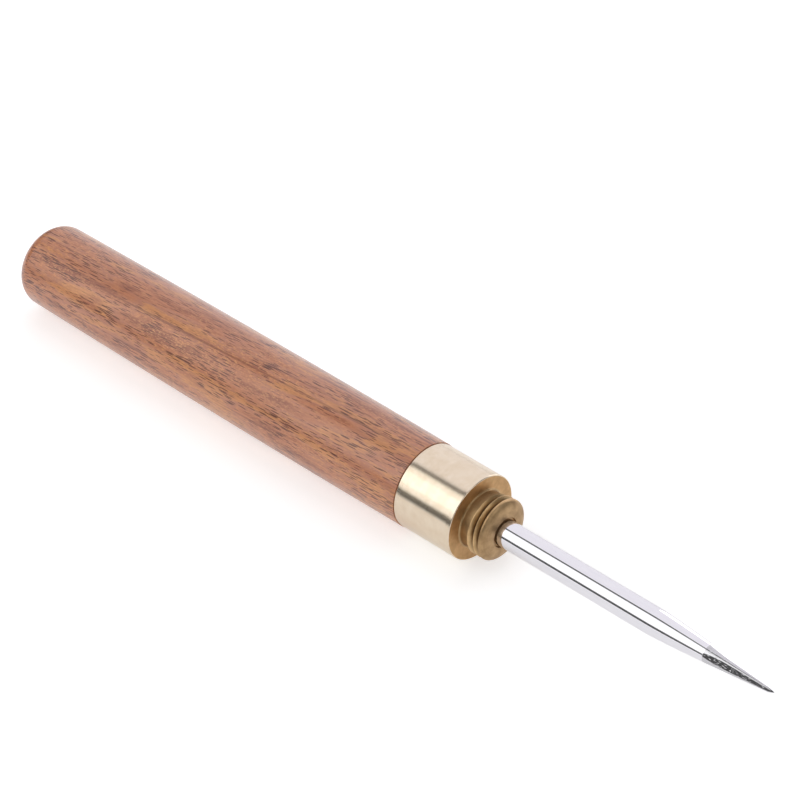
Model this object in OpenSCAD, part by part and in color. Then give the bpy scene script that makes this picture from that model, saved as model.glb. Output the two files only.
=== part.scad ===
// Scratch awl with a reversible head: a wooden barrel handle with a brass bushing in
// its mouth, a double-ended threaded brass head, and a steel blade soldered into it.
// The awl lies on its side: its axis runs along +X towards the point, +Z is up, the
// handle's widest ring rests on z = 0 and the overall box is centred on x = 0, y = 0.
// All lengths are in millimetres. Positions named *_at are measured along the axis
// from the front face of the brass collar, positive towards the point.

/* [Handle] */
// Length of the wooden handle, from its mouth face to its butt
handle_length = 86.5; // [75:0.5:110]
// Diameter of the wooden handle at its widest ring
handle_dia = 14.54; // [13.6:0.02:18]
// Diameter of the wooden handle at its mouth
handle_mouth_dia = 14.18; // [13.4:0.02:17]
// Diameter the barrel curve reaches at the butt
handle_butt_dia = 14.06; // [13.2:0.02:17]
// Distance from the mouth to the widest ring
handle_belly_depth = 36; // [25:0.5:50]
// Rounding radius between the barrel and the flat butt
butt_round = 2.8; // [1.5:0.1:4.5]
// Diameter of the bore that stores the point
storage_bore_dia = 6.5; // [5:0.1:8]
// Depth of the storage bore below the handle's mouth
storage_bore_depth = 58; // [50:0.5:70]

/* [Bushing] */
// Outside diameter of the brass bushing
bushing_dia = 12; // [11.4:0.1:13]
// Length of the brass bushing
bushing_length = 7; // [6:0.1:9]

/* [Brass head] */
// Diameter of the collar
collar_dia = 14; // [13:0.1:16]
// Length of the collar
collar_length = 11.05; // [8:0.05:16]
// Chamfer on both rims of the collar
collar_chamfer = 0.15; // [0.05:0.05:0.5]
// Gap between the collar and the handle's mouth when the head is screwed home
seat_gap = 0.05; // [0.02:0.01:0.2]
// Outside diameter of the thread
thread_dia = 10; // [9:0.5:11]
// Pitch of the thread
thread_pitch = 1; // [0.75:0.25:1.5]
// Number of thread grooves on each spigot
thread_grooves = 2; // [2:1:3]
// Diameter of the smooth neck that is cut below the thread's crests
neck_dia = 9.2; // [8.8:0.1:10]
// Distance from a collar face to the first crest of the thread
neck_length = 1.95; // [1.5:0.05:3]
// Height of the rounded nose in front of the thread
nose_height = 1; // [0.5:0.05:1.5]
// Radial clearance between the thread crests and the bushing's bore
thread_clearance = 0.05; // [0.02:0.01:0.1]

/* [Blade] */
// Diameter of the blade
blade_dia = 4.3; // [3:0.1:5]
// Length of the blade that stands out in front of the collar's face
blade_reach = 54.6; // [40:0.2:56]
// Distance from the collar's face to the start of the taper
blade_taper_at = 32.9; // [20:0.1:40]
// Distance from the collar's face to the start of the four-sided ground point
blade_grind_at = 43; // [35:0.1:50]
// Turn of the ground flats about the axis, in degrees
grind_turn = 67; // [0:1:89]
// Diameter of the blade's tang and of the socket it is soldered into
tang_dia = 3.2; // [2.5:0.1:4]
// Depth of the blade's socket below the collar's front face
socket_depth = 10; // [6:0.5:12]
// Thickness of the solder at the bottom of the socket
solder_thickness = 0.5; // [0.3:0.1:1]

/* [Hidden] */
$fn = 96;

// barrel of the handle
mouth_at = -collar_length - seat_gap;
butt_at = mouth_at - handle_length;
belly_at = mouth_at - handle_belly_depth;
barrel_end_at = butt_at + butt_round;
barrel_steps = 14;
butt_steps = 10;
drill_point_slope = tan(31);

// thread, a sixty-degree form shown as separate V-shaped rings
thread_root_dia = thread_dia - 1.2 * thread_pitch;
crest_flat = thread_pitch / 8;
flank_slope = tan(30);
neck_wall_end = neck_length - crest_flat / 2 - flank_slope * (thread_dia - neck_dia) / 2;
thread_end = neck_length + thread_grooves * thread_pitch;
spigot_length = thread_end + nose_height;
nose_steps = 7;
nose_edge_r = blade_dia / 2 + 0.1;

// taper of the blade: its radius falls along a power curve, then a short cone ends it
taper_steps = 12;
taper_depth = 0.85;
taper_power = 1.25;
point_cone_length = 0.8;
point_tip_r = 0.05;
point_cone_at = blade_reach - point_cone_length;

// frame
axis_z = handle_dia / 2;
centre_shift = -(blade_reach + butt_at) / 2;

brass = [0.80, 0.66, 0.42];
wood = [0.55, 0.33, 0.22];
steel = [0.78, 0.78, 0.80];
solder = [0.62, 0.63, 0.65];

// Stands a profile drawn as (radius, distance along the axis) into the awl's frame.
module on_axis() {
    translate([centre_shift, 0, axis_z])
        rotate([0, 90, 0])
            children();
}

// Radius of the barrel at a distance along the axis: two half parabolas that share
// the widest ring.
function barrel_r(at) =
    let (
        end_at = at > belly_at ? mouth_at : butt_at,
        end_dia = at > belly_at ? handle_mouth_dia : handle_butt_dia,
        share = (at - belly_at) / (end_at - belly_at)
    )
    (handle_dia - (handle_dia - end_dia) * share * share) / 2;

function barrel_at(i) = mouth_at + (barrel_end_at - mouth_at) * i / barrel_steps;

// Point i of the butt's rounding, from the barrel to the flat end.
function butt_point(i) =
    let (turn = 90 * i / butt_steps)
    [
        barrel_r(barrel_end_at) - butt_round * (1 - cos(turn)),
        barrel_end_at - butt_round * sin(turn)
    ];

// Half section of the solid handle.
module handle_profile() {
    polygon(concat(
        [[0, mouth_at]],
        [for (i = [0:barrel_steps]) [barrel_r(barrel_at(i)), barrel_at(i)]],
        [for (i = [1:butt_steps]) butt_point(i)],
        [[0, butt_at]]
    ));
}

module handle() {
    bore_r = storage_bore_dia / 2;
    bore_end_at = mouth_at - storage_bore_depth;
    color(wood)
        on_axis()
            difference() {
                rotate_extrude()
                    handle_profile();
                translate([0, 0, mouth_at - bushing_length])
                    cylinder(h = bushing_length + 1, d = bushing_dia);
                translate([0, 0, bore_end_at])
                    cylinder(h = storage_bore_depth, r = bore_r);
                translate([0, 0, bore_end_at - bore_r * drill_point_slope])
                    cylinder(h = bore_r * drill_point_slope, r1 = 0, r2 = bore_r);
            }
}

module handle_bushing() {
    color(brass)
        on_axis()
            translate([0, 0, mouth_at - bushing_length])
                difference() {
                    cylinder(h = bushing_length, d = bushing_dia);
                    translate([0, 0, -1])
                        cylinder(h = bushing_length + 2,
                                 d = thread_dia + 2 * thread_clearance);
                }
}

// The three corners of thread groove i, measured forwards from the collar's face.
function groove_points(i) =
    let (start = neck_length + i * thread_pitch + crest_flat / 2)
    [
        [thread_dia / 2, start],
        [thread_root_dia / 2, start + (thread_pitch - crest_flat) / 2],
        [thread_dia / 2, start + thread_pitch - crest_flat]
    ];

// Point i of the rounded nose, from the thread's end to the edge around the blade.
function nose_point(i) =
    let (turn = 90 * i / nose_steps)
    [
        nose_edge_r + (thread_dia / 2 - nose_edge_r) * cos(turn),
        thread_end + nose_height * sin(turn)
    ];

// Outline of one spigot, from the collar's face to the axis.
function spigot_points() = concat(
    [
        [neck_dia / 2, 0],
        [neck_dia / 2, neck_wall_end],
        [thread_dia / 2, neck_length - crest_flat / 2]
    ],
    [for (i = [0:thread_grooves - 1]) each groove_points(i)],
    [for (i = [0:nose_steps]) nose_point(i)],
    [[0, spigot_length]]
);

function collar_points() = [
    [collar_dia / 2 - collar_chamfer, -collar_length],
    [collar_dia / 2, -collar_length + collar_chamfer],
    [collar_dia / 2, -collar_chamfer],
    [collar_dia / 2 - collar_chamfer, 0]
];

// The same spigot stands on both faces of the collar, so the head fits either way round.
module brass_head() {
    front = spigot_points();
    rear = [for (i = [len(front) - 1:-1:0]) [front[i][0], -collar_length - front[i][1]]];
    color(brass)
        on_axis()
            difference() {
                rotate_extrude()
                    polygon(concat(rear, collar_points(), front));
                translate([0, 0, -socket_depth])
                    cylinder(h = socket_depth + spigot_length + 1, d = tang_dia);
            }
}

// Radius of the blade at a share of the way from the taper's start to the point.
function taper_r(share) = blade_dia / 2 * (1 - taper_depth * pow(share, taper_power));

// Point i of the blade's taper.
function taper_point(i) =
    let (at = blade_taper_at + (point_cone_at - blade_taper_at) * i / taper_steps)
    [taper_r((at - blade_taper_at) / (blade_reach - blade_taper_at)), at];

// The metal that grinding takes off one side of the point: everything outside a plane
// that meets the taper where the grind starts and nearly reaches the axis at the tip.
module grind_cut(side) {
    grind_length = blade_reach - blade_grind_at;
    start_r = taper_r((blade_grind_at - blade_taper_at) / (blade_reach - blade_taper_at));
    tilt = atan((start_r - point_tip_r) / grind_length);
    rotate([0, 0, 90 * side + grind_turn])
        translate([start_r, 0, blade_grind_at])
            rotate([0, -tilt, 0])
                translate([0, -blade_dia / 2, 0])
                    cube([blade_dia, blade_dia, 2 * grind_length]);
}

// The blade's shoulder rests on the head's nose, and its tang fills the socket down to
// the solder.
module blade() {
    color(steel)
        on_axis()
            difference() {
                rotate_extrude()
                    polygon(concat(
                        [[0, solder_thickness - socket_depth],
                         [tang_dia / 2, solder_thickness - socket_depth],
                         [tang_dia / 2, spigot_length],
                         [blade_dia / 2, spigot_length]],
                        [for (i = [0:taper_steps]) taper_point(i)],
                        [[point_tip_r, blade_reach], [0, blade_reach]]
                    ));
                for (side = [0:3])
                    grind_cut(side);
            }
}

module blade_solder() {
    color(solder)
        on_axis()
            translate([0, 0, -socket_depth])
                cylinder(h = solder_thickness, d = tang_dia);
}

handle();
handle_bushing();
brass_head();
blade();
blade_solder();
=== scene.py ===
"""Looks for the scratch awl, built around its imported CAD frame.

The awl lies along +X. Distances named *_AT, and every outline below, are millimetres
along the axis from the front face of the brass collar, positive towards the point.
"""
import math

import bmesh
import bpy
from mathutils import Matrix, Vector


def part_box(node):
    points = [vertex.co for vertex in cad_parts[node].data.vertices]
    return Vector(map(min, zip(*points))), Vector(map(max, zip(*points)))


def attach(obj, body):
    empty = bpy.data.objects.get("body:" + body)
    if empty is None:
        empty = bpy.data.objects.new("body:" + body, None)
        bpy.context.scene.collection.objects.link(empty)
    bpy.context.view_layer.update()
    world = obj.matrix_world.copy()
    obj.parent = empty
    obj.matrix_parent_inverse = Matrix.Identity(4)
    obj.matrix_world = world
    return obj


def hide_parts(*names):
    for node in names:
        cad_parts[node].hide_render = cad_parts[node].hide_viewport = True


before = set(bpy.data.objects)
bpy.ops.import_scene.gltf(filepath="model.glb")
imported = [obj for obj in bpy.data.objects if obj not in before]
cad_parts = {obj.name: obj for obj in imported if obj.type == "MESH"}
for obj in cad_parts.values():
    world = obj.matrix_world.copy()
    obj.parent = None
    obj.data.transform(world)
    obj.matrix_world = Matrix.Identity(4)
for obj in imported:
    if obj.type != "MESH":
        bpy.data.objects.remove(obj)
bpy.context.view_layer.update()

MM = 0.001
TURN = 2 * math.pi

# Head: the same spigot stands on both faces of the collar.
COLLAR_R = 7.0
COLLAR_LENGTH = 11.05
COLLAR_EDGE = 0.15
THREAD_R = 5.0
THREAD_PITCH = 1.0
THREAD_DEPTH = 0.6
THREAD_TURNS = 2.0
NECK_LENGTH = 1.95
NECK_R = 4.6
NECK_WALL_END = 1.66
NECK_FILLET = 0.3
CREST_FLAT = 0.125
GROOVE_HALF_WIDTH = 0.47 * THREAD_PITCH
# The thread starts on the side away from the camera, and fades over shares of a turn.
THREAD_START_TURN = math.radians(133.7 - 180)
THREAD_RUN_IN = 0.25
THREAD_RUN_OUT = 0.15
NOSE_AT = 3.95
NOSE_HEIGHT = 1.0
SPIGOT_LENGTH = NOSE_AT + NOSE_HEIGHT
SOCKET_MOUTH_R = 2.5
MOUTH_RECESS = 0.4
RECESS_NARROWING = 0.05
SHOULDER_GAP = 0.02
TANG_R = 1.6
TANG_CLEARANCE = 0.04
SOCKET_BEVEL = 0.1
SOCKET_DEPTH = 10.0
SOLDER_THICKNESS = 0.5

# Handle and bushing.
MOUTH_AT = -COLLAR_LENGTH - 0.05
HANDLE_LENGTH = 86.5
BUTT_AT = MOUTH_AT - HANDLE_LENGTH
BELLY_AT = MOUTH_AT - 36.0
BELLY_R = 7.27
MOUTH_R = 7.09
BUTT_R = 7.03
BUTT_ROUND = 2.8
MOUTH_EDGE = 0.05
BUSHING_R = 6.0
BUSHING_LENGTH = 7.0
BUSHING_BORE_R = 5.05
FEMALE_THREAD_DEPTH = 0.35
STORE_R = 3.25
STORE_DEPTH = 58.0
DRILL_SLOPE = math.tan(math.radians(31))

# Blade.
BLADE_R = 2.15
TAPER_AT = 32.9
GRIND_AT = 43.0
TIP_AT = 54.6
TAPER_DEPTH = 0.85
TAPER_POWER = 1.25
POINT_CONE = 0.8
POINT_R = 0.05
GRIND_SIDES = 4
GRIND_TURN = math.radians(155.5)
GRIND_STEP = 0.02
POINT_CAP = 0.02
# The flats lie at this share of the round radius, and deepen to it over this stretch,
# which is measured from GRIND_AT.
GRIND_SHARE = 0.89
GRIND_RUN_IN = (-1.5, 4.0)

# Slack for telling, from where a face lies, which material it has.
TOLERANCE = 0.01
ZONE_MARGIN = 0.1

# Where the frame puts the awl: its axis, and the front face of the collar.
HEAD_LOW, HEAD_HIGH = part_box("brass_head")
AXIS = Vector((HEAD_HIGH[0] - SPIGOT_LENGTH * MM, 0.0, (HEAD_LOW[2] + HEAD_HIGH[2]) / 2))

# Camera, aimed at a point given from the collar's front face.
CAMERA_AZIMUTH = 43.7
CAMERA_ELEVATION = 37.08
CAMERA_DISTANCE = 446.1
CAMERA_AIM = (-28.49, 12.65, 0.0)
CAMERA_LENS = 129.0


# ---------------------------------------------------------------- mesh building

def arc(at, r, radius_at, radius_r, start, end, steps):
    """Points of an elliptical arc about (at, r), from start to end degrees."""
    points = []
    for i in range(steps + 1):
        angle = math.radians(start + (end - start) * i / steps)
        points.append((at + radius_at * math.sin(angle), r + radius_r * math.cos(angle)))
    return points


def spaced(start, end, steps):
    """Evenly spaced numbers from start to end, both included."""
    return [start + (end - start) * i / steps for i in range(steps + 1)]


def smoothstep(low, high, value):
    share = min(max((value - low) / (high - low), 0.0), 1.0)
    return share * share * (3 - 2 * share)


def turned(name, outline, segments, closed=False, shape=None, zones=None):
    """A piece turned about the axis from an outline of (at, r) points.

    shape(at, r, angle) may change the radius, for threads and ground flats. zones(at, r)
    picks the material slot of a band from the middle of its outline segment.
    """
    mesh = bpy.data.meshes.new(name)
    bm = bmesh.new()
    rings = []
    for at, r in outline:
        x = AXIS.x + at * MM
        if r == 0:
            rings.append([bm.verts.new((x, AXIS.y, AXIS.z))])
            continue
        ring = []
        for i in range(segments):
            angle = TURN * i / segments
            radius = (shape(at, r, angle) if shape else r) * MM
            ring.append(bm.verts.new((
                x,
                AXIS.y + radius * math.cos(angle),
                AXIS.z + radius * math.sin(angle),
            )))
        rings.append(ring)
    pairs = list(zip(range(len(rings)), range(1, len(rings))))
    if closed:
        pairs.append((len(rings) - 1, 0))
    for low, high in pairs:
        a, b = rings[low], rings[high]
        middle = [(p + q) / 2 for p, q in zip(outline[low], outline[high])]
        slot = zones(*middle) if zones else 0
        for i in range(segments):
            j = (i + 1) % segments
            corners = [a[i % len(a)], a[j % len(a)], b[j % len(b)], b[i % len(b)]]
            unique = list(dict.fromkeys(corners))
            face = bm.faces.new(unique)
            face.material_index = slot
    bmesh.ops.recalc_face_normals(bm, faces=bm.faces)
    bm.to_mesh(mesh)
    bm.free()
    mesh.shade_smooth()
    mesh.set_sharp_from_angle(angle=math.radians(32))
    piece = bpy.data.objects.new(name, mesh)
    bpy.context.scene.collection.objects.link(piece)
    return piece


def finish_piece(piece, node, body, materials):
    for material in materials:
        piece.data.materials.append(material)
    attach(piece, body)
    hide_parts(node)


# ------------------------------------------------------------- procedural nodes

class Graph:
    """Builds a node tree with few words: every input is a socket or a plain value."""

    def __init__(self, tree):
        self.tree = tree
        self.tree.nodes.clear()

    def add(self, kind, inputs=None, **settings):
        node = self.tree.nodes.new("ShaderNode" + kind)
        for key, value in settings.items():
            setattr(node, key, value)
        for key, value in (inputs or {}).items():
            if isinstance(value, bpy.types.NodeSocket):
                self.tree.links.new(value, node.inputs[key])
            else:
                node.inputs[key].default_value = value
        return node

    def math(self, operation, a, b=0.0):
        return self.add("Math", {0: a, 1: b}, operation=operation).outputs[0]

    def mix(self, share, a, b, blend="MIX"):
        node = self.add("Mix", {"Factor": share, 6: a, 7: b}, data_type="RGBA", blend_type=blend)
        return node.outputs[2]

    def ramp(self, value, stops):
        node = self.add("ValToRGB", {"Fac": value})
        ramp = node.color_ramp
        while len(ramp.elements) < len(stops):
            ramp.elements.new(0.5)
        for element, (position, colour) in zip(ramp.elements, stops):
            element.position = position
            element.color = colour
        return node.outputs["Color"]

    def between(self, value, low, high, out_low=0.0, out_high=1.0):
        return self.add("MapRange", {
            "Value": value, "From Min": low, "From Max": high,
            "To Min": out_low, "To Max": out_high,
        }).outputs["Result"]

    def millimetres(self, scale=(1, 1, 1), turn=(0, 0, 0)):
        """Object coordinates in millimetres, turned by degrees and then stretched."""
        where = self.add("TexCoord").outputs["Object"]
        turned_axes = self.add("Mapping", {
            "Vector": where,
            "Rotation": [math.radians(angle) for angle in turn],
            "Scale": (1 / MM, 1 / MM, 1 / MM),
        }).outputs["Vector"]
        return self.add("Mapping", {"Vector": turned_axes, "Scale": scale}).outputs["Vector"]

    def noise(self, vector, scale=1.0, detail=3.0, roughness=0.5):
        return self.add("TexNoise", {
            "Vector": vector, "Scale": scale, "Detail": detail, "Roughness": roughness,
        }).outputs["Fac"]

    def bump(self, height, strength, distance_mm):
        return self.add("Bump", {
            "Height": height, "Strength": strength, "Distance": distance_mm * MM,
        }).outputs["Normal"]

    def surface(self, inputs):
        shader = self.add("BsdfPrincipled", inputs)
        self.add("OutputMaterial", {"Surface": shader.outputs["BSDF"]})


def new_material(name):
    material = bpy.data.materials.new(name)
    material.use_nodes = True
    return material, Graph(material.node_tree)


def srgb(red, green, blue):
    """A colour given as 0-255 display values, in the linear form that shaders take."""
    linear = []
    for value in (red, green, blue):
        share = value / 255
        linear.append(share / 12.92 if share <= 0.04045 else ((share + 0.055) / 1.055) ** 2.4)
    return (*linear, 1.0)


# -------------------------------------------------------------------- materials

GRAIN_TURN = (0, 1.2, -2.6)


def wood_material():
    material, g = new_material("lacquered_wood")
    bands = g.noise(g.millimetres((0.05, 0.36, 0.36), GRAIN_TURN), 1.0, 4.0, 0.6)
    colour = g.ramp(bands, [
        (0.34, srgb(158, 88, 56)),
        (0.44, srgb(196, 124, 84)),
        (0.52, srgb(188, 124, 96)),
        (0.58, srgb(214, 146, 92)),
        (0.70, srgb(176, 106, 76)),
    ])
    fibres = g.noise(g.millimetres((0.10, 4.5, 4.5), GRAIN_TURN), 1.0, 4.0, 0.6)
    colour = g.mix(g.between(fibres, 0.35, 0.70, 0.0, 0.35), colour, srgb(140, 84, 64))
    flecks = g.noise(g.millimetres((1.5, 4.0, 4.0), GRAIN_TURN), 1.0, 3.0, 0.7)
    golden = g.noise(g.millimetres((0.05, 0.22, 0.22), GRAIN_TURN), 1.0, 2.0, 0.5)
    golden_share = g.between(golden, 0.35, 0.65, 0.15, 0.85)
    fleck_share = g.math("MULTIPLY", g.between(flecks, 0.48, 0.66), golden_share)
    colour = g.mix(fleck_share, colour, srgb(222, 156, 98))

    # Pores are open vessels cut along the grain: short dark dashes in drifting patches.
    cells = g.add("TexVoronoi", {
        "Vector": g.millimetres((0.42, 6.0, 6.0), GRAIN_TURN), "Scale": 1.0, "Randomness": 1.0,
    })
    patches = g.noise(g.millimetres((0.10, 0.35, 0.35), GRAIN_TURN), 1.0, 2.0, 0.5)
    reach = g.between(patches, 0.33, 0.62, 0.26, 0.56)
    open_cell = g.between(cells.outputs["Color"], 0.42, 0.46)
    pores = g.between(g.math("SUBTRACT", reach, cells.outputs["Distance"]), 0.0, 0.14)
    pores = g.math("MULTIPLY", pores, open_cell)
    colour = g.mix(g.math("MULTIPLY", pores, 0.9), colour, srgb(84, 32, 18))

    streaks = g.noise(g.millimetres((0.02, 1.1, 1.1), GRAIN_TURN), 1.0, 1.0, 0.4)
    colour = g.mix(g.between(streaks, 0.66, 0.74, 0.0, 0.5), colour, srgb(112, 56, 44))

    height = g.math("SUBTRACT", g.math("MULTIPLY", fibres, 0.25), pores)
    g.surface({
        "Base Color": colour,
        "Roughness": g.between(fibres, 0.3, 0.7, 0.34, 0.46),
        "Normal": g.bump(height, 0.18, 0.03),
        "Specular IOR Level": 0.5,
        "Coat Weight": 0.8,
        "Coat Roughness": 0.22,
    })
    return material


def bore_material():
    """Bare wood inside the handle: drilled, not lacquered."""
    material, g = new_material("bare_wood")
    fibres = g.noise(g.millimetres((0.3, 3.0, 3.0), GRAIN_TURN), 1.0, 4.0, 0.6)
    tool_marks = g.noise(g.millimetres((3.0, 0.2, 0.2)), 1.0, 2.0, 0.5)
    colour = g.ramp(fibres, [(0.3, srgb(150, 104, 78)), (0.7, srgb(188, 142, 108))])
    g.surface({
        "Base Color": colour,
        "Roughness": g.between(tool_marks, 0.3, 0.7, 0.75, 0.9),
        "Normal": g.bump(tool_marks, 0.3, 0.05),
    })
    return material


def brass_material(name, pale, deep, roughness, brushing, anisotropy, groove_shade_and_grime=False,
                   mottle=0.15, metal=1.0):
    """Turned brass: fine rings left by the tool, over slow patches of tarnish.

    Painted shade and grime darken everything that lies below the thread's crests.
    """
    material, g = new_material(name)
    rings = g.noise(g.millimetres((4.2, 0.09, 0.09)), 1.0, 5.0, 0.75)
    patches = g.noise(g.millimetres((0.6, 0.6, 0.6)), 1.0, 4.0, 0.6)
    specks = g.noise(g.millimetres((4.0, 4.0, 4.0)), 1.0, 2.0, 0.6)
    colour = g.mix(g.between(patches, 0.30, 0.75), pale, deep)
    colour = g.mix(g.between(rings, 0.50, 0.70, 0.0, 0.55), colour, deep)
    if groove_shade_and_grime:
        place = g.add("SeparateXYZ", {"Vector": g.add("TexCoord").outputs["Object"]})
        up = g.math("SUBTRACT", place.outputs["Z"], AXIS.z)
        squared = g.math("ADD", g.math("MULTIPLY", place.outputs["Y"], place.outputs["Y"]),
                         g.math("MULTIPLY", up, up))
        radius = g.math("SQRT", squared)
        # Painted shade with some grime: the thread's grooves turn dark brown with depth below the
        # crests.
        depth = g.between(radius, (THREAD_R - THREAD_DEPTH) * MM, (THREAD_R - 0.05) * MM, 0.85, 0.0)
        colour = g.mix(depth, colour, srgb(70, 52, 34))
    height = g.math("ADD", rings, g.math("MULTIPLY", specks, 0.3))
    g.surface({
        "Base Color": colour,
        "Metallic": metal,
        "Roughness": g.between(patches, 0.3, 0.7, roughness * (1 - mottle), roughness * (1 + mottle)),
        "Anisotropic": anisotropy,
        "Tangent": g.add("Tangent", direction_type="RADIAL", axis="X").outputs["Tangent"],
        "Normal": g.bump(height, brushing, 0.02),
    })
    return material


def steel_material():
    material, g = new_material("polished_steel")
    haze = g.noise(g.millimetres((0.4, 2.0, 2.0)), 1.0, 4.0, 0.6)
    scratches = g.noise(g.millimetres((6.0, 0.3, 0.3)), 1.0, 3.0, 0.6)
    g.surface({
        "Base Color": g.mix(haze, srgb(232, 230, 236), srgb(242, 241, 244)),
        "Metallic": 1.0,
        "Roughness": g.between(haze, 0.35, 0.7, 0.03, 0.08),
        "Normal": g.bump(scratches, 0.02, 0.01),
    })
    return material


def ground_steel_material():
    """The four ground flats: coarse scratches that break a reflection into dots."""
    material, g = new_material("ground_steel")
    scratches = g.noise(g.millimetres((1.8, 6.5, 6.5)), 1.0, 4.0, 0.7)
    g.surface({
        "Base Color": g.mix(scratches, srgb(170, 169, 172), srgb(238, 237, 240)),
        "Metallic": 1.0,
        "Roughness": g.between(scratches, 0.35, 0.7, 0.04, 0.10),
        "Normal": g.bump(g.between(scratches, 0.60, 0.70), 0.5, 0.04),
    })
    return material


def solder_material():
    material, g = new_material("soft_solder")
    grain = g.noise(g.millimetres((2.0, 2.0, 2.0)), 1.0, 4.0, 0.6)
    g.surface({
        "Base Color": g.mix(grain, srgb(150, 152, 156), srgb(190, 191, 194)),
        "Metallic": 1.0,
        "Roughness": g.between(grain, 0.3, 0.7, 0.40, 0.60),
        "Normal": g.bump(grain, 0.4, 0.05),
    })
    return material


# ----------------------------------------------------------------------- pieces

def barrel_r(at):
    """Barrel radius: two half parabolas that share the widest ring."""
    end_at, end_r = (MOUTH_AT, MOUTH_R) if at > BELLY_AT else (BUTT_AT, BUTT_R)
    share = (at - BELLY_AT) / (end_at - BELLY_AT)
    return BELLY_R - (BELLY_R - end_r) * share * share


def make_handle():
    """The barrel, its rounded butt, and the bore that stores the point."""
    barrel_end = BUTT_AT + BUTT_ROUND
    end_r = barrel_r(barrel_end)
    store_end = MOUTH_AT - STORE_DEPTH
    mouth_edge_at = MOUTH_AT - MOUTH_EDGE
    outline = [(BUTT_AT, 0), (BUTT_AT, (end_r - BUTT_ROUND) / 2)]
    outline += arc(barrel_end, end_r - BUTT_ROUND, BUTT_ROUND, BUTT_ROUND, -90, 0, 20)
    outline += [(at, barrel_r(at)) for at in spaced(barrel_end, mouth_edge_at, 48)[1:]]
    outline += arc(mouth_edge_at, MOUTH_R - MOUTH_EDGE, MOUTH_EDGE, MOUTH_EDGE, 0, 90, 5)[1:]
    outline += [(MOUTH_AT, BUSHING_R), (MOUTH_AT - BUSHING_LENGTH, BUSHING_R)]
    outline += [(MOUTH_AT - BUSHING_LENGTH, STORE_R), (store_end, STORE_R)]
    outline += [(store_end - STORE_R * DRILL_SLOPE, 0)]

    def zones(at, r):
        inside = r < BUSHING_R + TOLERANCE and at > store_end - STORE_R
        return 1 if inside else 0

    piece = turned("handle_barrel", outline, 256, zones=zones)
    finish_piece(piece, "handle", "handle", [wood_material(), bore_material()])


def make_bushing():
    """A sleeve whose bore carries a female thread, cut outwards from its wall."""
    back = MOUTH_AT - BUSHING_LENGTH
    plain_end = 0.4
    thread_from = back + plain_end
    thread_to = MOUTH_AT - NECK_LENGTH
    edge = 0.2
    outline = [(back, BUSHING_R), (MOUTH_AT - edge, BUSHING_R), (MOUTH_AT, BUSHING_R - edge)]
    outline += [(MOUTH_AT, BUSHING_BORE_R + edge), (MOUTH_AT - edge, BUSHING_BORE_R)]
    outline += [(at, BUSHING_BORE_R) for at in spaced(thread_to, thread_from, 60)]
    outline += [(back, BUSHING_BORE_R)]

    def groove(at, r, angle):
        if r > BUSHING_BORE_R + TOLERANCE or not thread_from < at < thread_to:
            return r
        phase = (at / THREAD_PITCH - angle / TURN) % 1.0
        return r + FEMALE_THREAD_DEPTH * (1 - abs(2 * phase - 1))

    piece = turned("bushing_sleeve", outline, 192, closed=True, shape=groove)
    brass = brass_material("bushing_brass", srgb(205, 178, 128), srgb(160, 124, 78), 0.30, 0.10, 0.3)
    finish_piece(piece, "handle_bushing", "handle", [brass])


def spigot_outline():
    """Outline of one spigot, from the collar's face to the recess round the blade."""
    dome_r = THREAD_R - SOCKET_MOUTH_R
    recess_at = SPIGOT_LENGTH - MOUTH_RECESS
    outline = arc(NECK_FILLET, NECK_R + NECK_FILLET, -NECK_FILLET, -NECK_FILLET, 90, 0, 6)
    outline += [(NECK_WALL_END, NECK_R)]
    outline += [(at, THREAD_R) for at in spaced(NECK_LENGTH - CREST_FLAT / 2, NOSE_AT, 72)]
    outline += arc(NOSE_AT, SOCKET_MOUTH_R, NOSE_HEIGHT, dome_r, 0, 90, 20)[1:]
    outline += [(recess_at, SOCKET_MOUTH_R - RECESS_NARROWING)]
    outline += [(recess_at, TANG_R + TANG_CLEARANCE)]
    return outline


def thread_shape(at, r, angle):
    """Cuts a right-handed helical V groove, fading at both ends, between neck and nose."""
    in_spigot = at > 0 or at < -COLLAR_LENGTH
    if not in_spigot or r != THREAD_R:
        return r
    along = at if at > 0 else -(at + COLLAR_LENGTH)
    turn = (angle - THREAD_START_TURN) / TURN % 1.0
    if at < 0:
        turn = 1.0 - turn
    deepest = 0.0
    for lap in range(int(THREAD_TURNS)):
        helix = lap + turn
        centre = NECK_LENGTH + THREAD_PITCH * helix
        run_in = smoothstep(0.0, THREAD_RUN_IN, helix)
        run_out = smoothstep(0.0, THREAD_RUN_OUT, THREAD_TURNS - helix)
        v_shape = 1 - abs(along - centre) / GROOVE_HALF_WIDTH
        deepest = max(deepest, THREAD_DEPTH * v_shape * (run_in * run_out))
    return r - deepest


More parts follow.
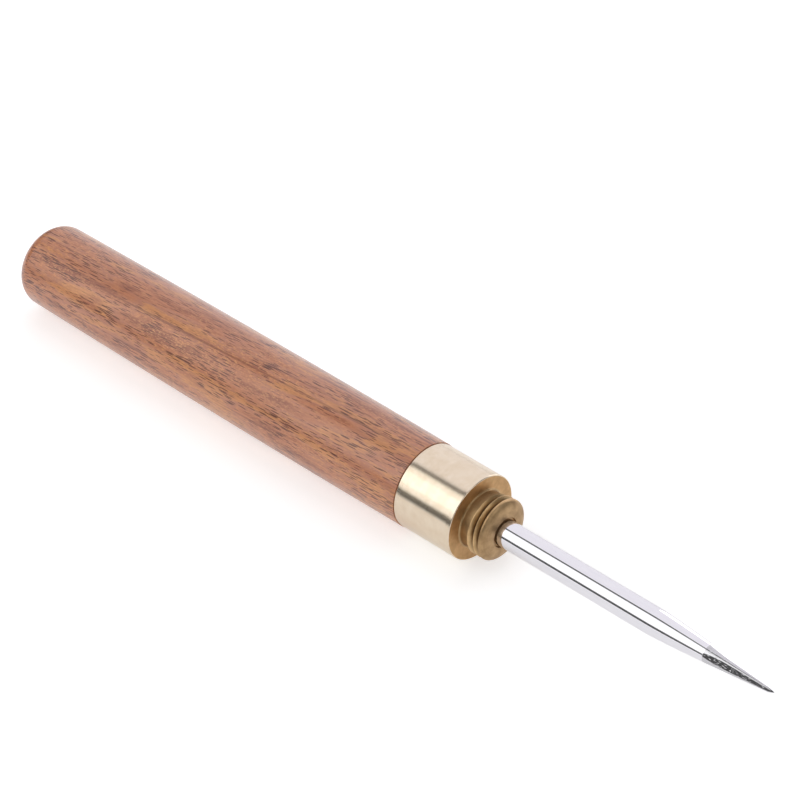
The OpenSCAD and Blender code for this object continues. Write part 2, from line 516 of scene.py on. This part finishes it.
def make_head():
    """The double-ended head, with its socket for the blade's tang."""
    front = spigot_outline()
    rear = [(-COLLAR_LENGTH - at, r) for at, r in reversed(front)]
    edge_r = COLLAR_R - COLLAR_EDGE
    back_edge = -COLLAR_LENGTH + COLLAR_EDGE
    outline = [(-COLLAR_LENGTH - SPIGOT_LENGTH, 0)] + rear
    outline += arc(back_edge, edge_r, COLLAR_EDGE, COLLAR_EDGE, -90, 0, 5)
    outline += [(at, COLLAR_R) for at in spaced(back_edge, -COLLAR_EDGE, 12)[1:-1]]
    outline += arc(-COLLAR_EDGE, edge_r, COLLAR_EDGE, COLLAR_EDGE, 0, 90, 5)
    outline += front
    outline += [(SPIGOT_LENGTH - MOUTH_RECESS - SOCKET_BEVEL, TANG_R)]
    outline += [(-SOCKET_DEPTH, TANG_R), (-SOCKET_DEPTH, 0)]

    # Places in the list of materials below.
    collar, face, nose, thread = range(4)

    def zones(at, r):
        if r > edge_r:
            return collar
        along = max(at, -COLLAR_LENGTH - at)
        if along > NOSE_AT:
            return nose if r > TANG_R + ZONE_MARGIN else thread
        on_thread = THREAD_R - THREAD_DEPTH - ZONE_MARGIN < r < THREAD_R + TOLERANCE
        return thread if on_thread else face

    piece = turned("head_turning", outline, 288, shape=thread_shape, zones=zones)
    finish_piece(piece, "brass_head", "head", [
        brass_material("collar_brass", srgb(238, 223, 201), srgb(229, 210, 184),
                       roughness=0.17, brushing=0.24, anisotropy=0.5, mottle=0.05),
        brass_material("spigot_brass", srgb(222, 180, 128), srgb(190, 150, 102),
                       roughness=0.42, brushing=0.14, anisotropy=0.3, metal=0.85),
        brass_material("nose_brass", srgb(206, 172, 128), srgb(162, 130, 92),
                       roughness=0.42, brushing=0.22, anisotropy=0.2, metal=0.85),
        # The thread's grooves carry painted shade and grime, darker with depth.
        brass_material("thread_brass", srgb(228, 192, 142), srgb(194, 158, 110),
                       roughness=0.34, brushing=0.14, anisotropy=0.2, metal=0.85, groove_shade_and_grime=True),
    ])


def taper_r(at):
    """Radius of the round blade at a distance from the collar's face."""
    if at <= TAPER_AT:
        return BLADE_R
    share = (at - TAPER_AT) / (TIP_AT - TAPER_AT)
    return BLADE_R * (1 - TAPER_DEPTH * share ** TAPER_POWER)


def grind_shape(at, r, angle):
    """Flattens the point on its sides, leaving a round strip between each two."""
    if at < GRIND_AT:
        return r
    side = TURN / GRIND_SIDES
    off_centre = (angle - GRIND_TURN + side / 2) % side - side / 2
    share = 1 - (1 - GRIND_SHARE) * smoothstep(*GRIND_RUN_IN, at - GRIND_AT)
    return min(r, r * share / math.cos(off_centre))


def make_blade():
    """Tang, straight shank, taper and ground point."""
    cone_at = TIP_AT - POINT_CONE
    outline = [(SOLDER_THICKNESS - SOCKET_DEPTH, 0), (SOLDER_THICKNESS - SOCKET_DEPTH, TANG_R)]
    shoulder = SPIGOT_LENGTH - MOUTH_RECESS + SHOULDER_GAP
    outline += [(shoulder, TANG_R), (shoulder, BLADE_R)]
    outline += [(at, taper_r(at)) for at in spaced(TAPER_AT, GRIND_AT - GRIND_STEP, 24)]
    outline += [(at, taper_r(at)) for at in spaced(GRIND_AT, cone_at, 60)]
    outline += [(TIP_AT - POINT_CAP, POINT_R), (TIP_AT, 0)]

    def zones(at, r):
        return 1 if at > GRIND_AT else 0

    piece = turned("blade_steel", outline, 192, shape=grind_shape, zones=zones)
    finish_piece(piece, "blade", "head", [steel_material(), ground_steel_material()])


def make_solder():
    """The solder that closes the bottom of the socket."""
    top = SOLDER_THICKNESS - SOCKET_DEPTH
    outline = [(-SOCKET_DEPTH, 0), (-SOCKET_DEPTH, TANG_R), (top, TANG_R), (top, 0)]
    piece = turned("solder_slug", outline, 96)
    finish_piece(piece, "blade_solder", "head_lead", [solder_material()])


# ------------------------------------------------------------- stage and lights

def make_sheet(name, low_corner, high_corner, height):
    """A flat rectangle between two (x, y) corners, in metres."""
    (x0, y0), (x1, y1) = low_corner, high_corner
    mesh = bpy.data.meshes.new(name)
    corners = [(x0, y0, height), (x1, y0, height), (x1, y1, height), (x0, y1, height)]
    mesh.from_pydata(corners, [], [(0, 1, 2, 3)])
    sheet = bpy.data.objects.new(name, mesh)
    bpy.context.scene.collection.objects.link(sheet)
    return sheet


def make_floor():
    """A pale table that glows more to the camera than in reflections."""
    size = 3.0
    glow_reflected = 0.33
    glow_seen = 0.53
    floor = make_sheet("floor", (-size, -size), (size, size), 0)
    material, g = new_material("white_table")
    seen = g.add("LightPath").outputs["Is Camera Ray"]
    g.surface({
        "Base Color": (0.75, 0.75, 0.75, 1.0),
        "Roughness": 0.9,
        "Specular IOR Level": 0.1,
        "Emission Color": (1.0, 1.0, 1.0, 1.0),
        "Emission Strength": g.between(seen, 0.0, 1.0, glow_reflected, glow_seen),
    })
    floor.data.materials.append(material)


def make_flag():
    """A black card on the near side of the table that only reflections see.

    It draws the dark line on the brass and the steel just below the front panel's
    reflection.
    """
    near, far, side, height = -0.075, -1.0, 1.5, 0.0005
    flag = make_sheet("flag", (-side, far), (side, near), height)
    flag.visible_camera = False
    flag.visible_diffuse = False
    flag.visible_shadow = False
    material, g = new_material("black_card")
    g.surface({
        "Base Color": (0.02, 0.02, 0.02, 1.0),
        "Roughness": 1.0,
        "Specular IOR Level": 0.0,
    })
    flag.data.materials.append(material)


def make_world():
    """Pale to the camera; dim to everything else, so gaps between panels read dark."""
    world = bpy.data.worlds.new("studio")
    world.use_nodes = True
    bpy.context.scene.world = world
    g = Graph(world.node_tree)
    seen = g.add("LightPath").outputs["Is Camera Ray"]
    dim = g.add("Background", {"Color": (1.0, 1.0, 1.0, 1.0), "Strength": 0.12})
    pale = g.add("Background", {"Color": (1.0, 1.0, 1.0, 1.0), "Strength": 0.95})
    blend = g.add("MixShader", {0: seen, 1: dim.outputs[0], 2: pale.outputs[0]})
    g.add("OutputWorld", {"Surface": blend.outputs[0]})


WHITE = (1.0, 1.0, 1.0)
COOL = (0.97, 0.95, 1.0)

# Name, lower and upper height in degrees, distance, length and middle along X in metres,
# radiance and tint. The gaps between heights draw the dark lines on brass and steel.
PANELS = [
    ("front_panel", 10, 71, 0.5, 0.9, -0.30, 1.10, WHITE),
    ("front_glow", 26, 56, 0.49, 0.9, -0.30, 0.35, WHITE),
    ("top_panel", 82, 130, 0.5, 0.9, -0.30, 0.85, COOL),
    ("back_panel", 130, 179, 0.5, 0.9, -0.30, 0.85, COOL),
    ("point_panel", 150, 179, 0.48, 0.30, -0.03, 1.40, WHITE),
]


def make_panel(name, low, high, distance, length, centre_x, radiance, tint):
    """A soft panel parallel to the awl, seen from it between two heights in degrees.

    Heights run from the near (-Y) horizon at 0 over the top to the far one at 180.
    """
    middle = math.radians((low + high) / 2)
    width = 2 * distance * math.tan(math.radians((high - low) / 2))
    outwards = Vector((0.0, -math.cos(middle), math.sin(middle)))
    along = Vector((1.0, 0.0, 0.0))
    across = outwards.cross(along)
    data = bpy.data.lights.new(name, "AREA")
    data.shape = "RECTANGLE"
    data.size = length
    data.size_y = width
    data.energy = radiance * math.pi * length * width
    data.color = tint
    light = bpy.data.objects.new(name, data)
    place = Matrix((along, across, outwards)).transposed().to_4x4()
    place.translation = AXIS + outwards * distance + along * centre_x
    light.matrix_world = place
    bpy.context.scene.collection.objects.link(light)


def make_end_light():
    """A soft square light off the point's end, which models the nose and the far side."""
    towards = Vector((0.80, 0.05, 0.60)).normalized()
    distance = 0.7
    radiance = 0.9
    data = bpy.data.lights.new("end_light", "AREA")
    data.shape = "SQUARE"
    data.size = 0.5
    data.energy = radiance * math.pi * data.size ** 2
    light = bpy.data.objects.new("end_light", data)
    light.location = AXIS + towards * distance
    light.rotation_mode = "QUATERNION"
    light.rotation_quaternion = towards.to_track_quat("Z", "Y")
    bpy.context.scene.collection.objects.link(light)


def make_camera():
    """The photograph's view, fitted to the collar's rims, the blade and the outline."""
    azimuth = math.radians(CAMERA_AZIMUTH)
    elevation = math.radians(CAMERA_ELEVATION)
    back = Vector((
        math.sin(azimuth) * math.cos(elevation),
        -math.cos(azimuth) * math.cos(elevation),
        math.sin(elevation),
    ))
    data = bpy.data.cameras.new("camera")
    data.lens = CAMERA_LENS
    data.sensor_width = 36.0
    data.clip_start = 0.01
    data.clip_end = 20.0
    camera = bpy.data.objects.new("camera", data)
    camera.location = AXIS + Vector(CAMERA_AIM) * MM + back * CAMERA_DISTANCE * MM
    camera.rotation_mode = "QUATERNION"
    camera.rotation_quaternion = (-back).to_track_quat("-Z", "Y")
    bpy.context.scene.collection.objects.link(camera)
    bpy.context.scene.camera = camera


make_camera()
make_handle()
make_bushing()
make_head()
make_blade()
make_solder()
make_floor()
make_flag()
make_world()
for panel in PANELS:
    make_panel(*panel)
make_end_light()
bpy.context.scene.view_settings.view_transform = "Standard"
